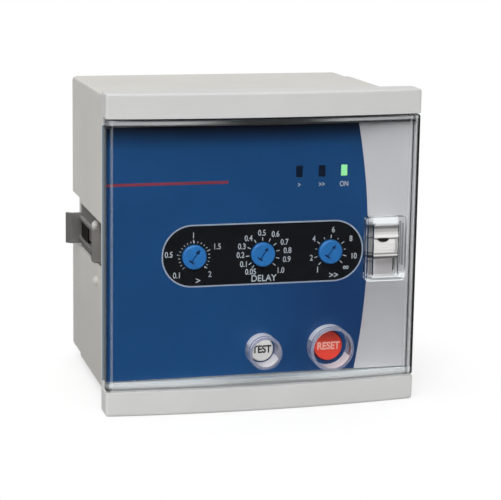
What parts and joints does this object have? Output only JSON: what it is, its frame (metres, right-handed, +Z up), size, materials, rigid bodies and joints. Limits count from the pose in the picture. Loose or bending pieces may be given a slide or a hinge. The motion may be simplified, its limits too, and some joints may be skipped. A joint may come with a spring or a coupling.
{
  "type": "protection relay",
  "caption": "Panel-mounted earth-fault relay: square grey case, bowed bezel, hinged clear cover with a sliding latch, setting knobs, push buttons, lamps and side clips.",
  "frame": {"origin": "middle of the bounding box at its lowest level, which is the lower edge of the bezel", "axes": "+X to the right as seen from the front, +Y from the front to the rear, +Z up"},
  "size_m": [0.098, 0.0774, 0.096],
  "materials": {
    "case_plastic": "light warm grey moulded plastic with a fine matt grain",
    "bezel_plastic": "pale grey moulded plastic, satin",
    "clear_plastic": "clear polished polycarbonate",
    "latch_plastic": "clear polycarbonate with a frosted thumb pad",
    "plate_plastic": "dark moulded plastic",
    "label_print": "printed film in blue and silver with a black oval, satin",
    "test_plastic": "light grey moulded plastic",
    "reset_plastic": "red moulded plastic",
    "knob_plastic": "mid blue moulded plastic",
    "lamp_off": "dark smoked lamp lens, unlit",
    "lamp_green": "pale green lamp lens, lit",
    "clip_steel": "dull passivated spring steel",
    "pin_steel": "bright drawn steel",
    "screw_zinc": "bright zinc-plated steel",
    "board": "green solder-masked glass-fibre laminate",
    "terminal_plastic": "black moulded terminal plastic",
    "component_black": "black moulded component cases",
    "component_blue": "blue moulded component cases and sleeves",
    "core_steel": "grey stacked steel laminations",
    "winding": "taped copper winding, amber"
  },
  "bodies": {
    "relay": {"case_shell": "case_plastic", "rear_cover": "case_plastic", "front_bezel": "bezel_plastic", "front_plate": "plate_plastic", "front_label": "label_print", "hinge_pin_top": "pin_steel", "hinge_pin_bottom": "pin_steel", "test_spring": "pin_steel", "reset_spring": "pin_steel", "test_switch": "component_black", "reset_switch": "component_black", "pickup_potentiometer": "component_blue", "delay_potentiometer": "component_blue", "multiplier_potentiometer": "component_blue", "pickup_lamp": "lamp_off", "instant_lamp": "lamp_off", "supply_lamp": "lamp_green", "front_board": "board", "rear_board": "board", "main_board": "board", "front_header": "component_black", "rear_header": "component_black", "supply_transformer_core": "core_steel", "supply_transformer_winding": "winding", "sensing_transformer_core": "core_steel", "sensing_transformer_winding": "winding", "trip_relay": "component_black", "alarm_relay": "component_black", "reservoir_capacitor": "component_blue", "filter_capacitor": "component_blue", "surge_varistor": "component_blue", "microcontroller": "component_black", "terminal_block_left": "terminal_plastic", "terminal_block_right": "terminal_plastic", "terminal_screw_01": "screw_zinc", "terminal_screw_02": "screw_zinc", "terminal_screw_03": "screw_zinc", "terminal_screw_04": "screw_zinc", "terminal_screw_05": "screw_zinc", "terminal_screw_06": "screw_zinc", "terminal_screw_07": "screw_zinc", "terminal_screw_08": "screw_zinc", "terminal_screw_09": "screw_zinc", "terminal_screw_10": "screw_zinc", "terminal_screw_11": "screw_zinc", "terminal_screw_12": "screw_zinc"},
    "cover": {"clear_cover": "clear_plastic"},
    "latch": {"cover_latch": "latch_plastic"},
    "test_push": {"test_button": "test_plastic"},
    "reset_push": {"reset_button": "reset_plastic"},
    "pickup_dial": {"pickup_knob": "knob_plastic"},
    "delay_dial": {"delay_knob": "knob_plastic"},
    "multiplier_dial": {"multiplier_knob": "knob_plastic"},
    "clip_left": {"mounting_clip_left": "clip_steel"},
    "clip_right": {"mounting_clip_right": "clip_steel"}
  },
  "joints": [
    {"name": "cover_hinge", "type": "hinge", "parent": "relay", "child": "cover", "pos_m": [-0.0469, -0.0341, 0.048], "axis": [0, 0, -1], "range_deg": [0, 110]},
    {"name": "latch_slide", "type": "slide", "parent": "cover", "child": "latch", "axis": [0, 0, -1], "range_m": [0, 0.005]},
    {"name": "test_press", "type": "slide", "parent": "relay", "child": "test_push", "axis": [0, 1, 0], "range_m": [0, 0.0015], "stiffness_N_per_m": 600, "springref_m": -0.001, "deforming": ["test_spring"]},
    {"name": "reset_press", "type": "slide", "parent": "relay", "child": "reset_push", "axis": [0, 1, 0], "range_m": [0, 0.0015], "stiffness_N_per_m": 600, "springref_m": -0.001, "deforming": ["reset_spring"]},
    {"name": "pickup_turn", "type": "hinge", "parent": "relay", "child": "pickup_dial", "pos_m": [-0.021, -0.0336, 0.04685], "axis": [0, 1, 0], "range_deg": [-180, 90]},
    {"name": "delay_turn", "type": "hinge", "parent": "relay", "child": "delay_dial", "pos_m": [0, -0.0336, 0.04685], "axis": [0, 1, 0], "range_deg": [-180, 90]},
    {"name": "multiplier_turn", "type": "hinge", "parent": "relay", "child": "multiplier_dial", "pos_m": [0.021, -0.0336, 0.04685], "axis": [0, 1, 0], "range_deg": [-180, 90]},
    {"name": "clip_left_slide", "type": "slide", "parent": "relay", "child": "clip_left", "axis": [0, -1, 0], "range_m": [-0.012, 0.0245]},
    {"name": "clip_right_slide", "type": "slide", "parent": "relay", "child": "clip_right", "axis": [0, -1, 0], "range_m": [-0.012, 0.0245]}
  ]
}
